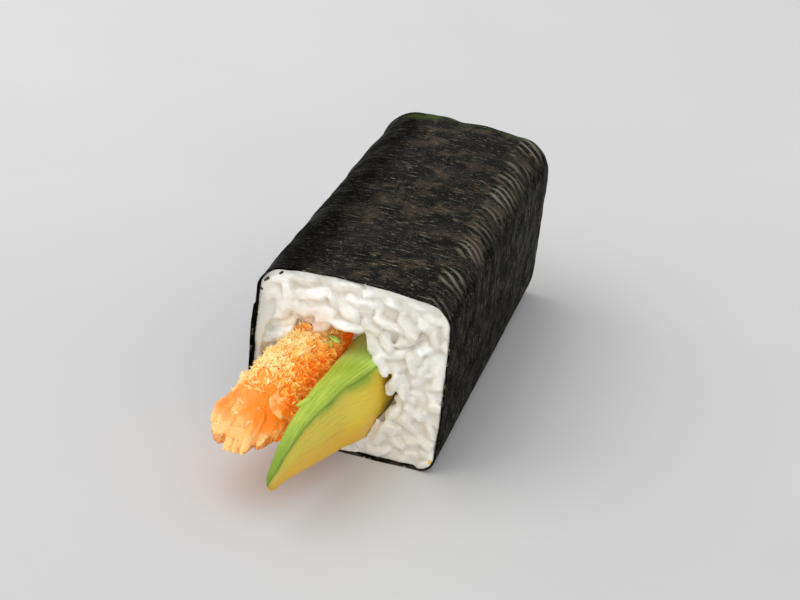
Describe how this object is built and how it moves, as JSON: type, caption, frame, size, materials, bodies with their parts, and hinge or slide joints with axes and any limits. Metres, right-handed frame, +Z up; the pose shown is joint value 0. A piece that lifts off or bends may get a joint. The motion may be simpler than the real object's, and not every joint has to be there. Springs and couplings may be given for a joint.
{
  "type": "temaki hand roll",
  "caption": "Square-section hand roll: sushi rice in a nori wrap, with a breaded shrimp and an avocado slice that run through it and stand out of its open front.",
  "frame": {"origin": "centre of the wrap's flat underside", "axes": "+Y from the open front, where the fillings stand out, to the back; +Z up; +X to the right seen from the front"},
  "size_m": [0.0487, 0.1388, 0.0463],
  "materials": {
    "nori": "near-black dried seaweed, satin, with fine fibres",
    "rice": "cooked white rice, moist and slightly translucent",
    "breading": "golden fried breadcrumbs, rough; smooth orange tail",
    "avocado": "ripe avocado flesh, moist, green under the skin to yellow at the stone"
  },
  "bodies": {
    "root": {"nori_wrap": "nori", "rice": "rice", "shrimp": "breading", "avocado_slice": "avocado"}
  },
  "joints": []
}
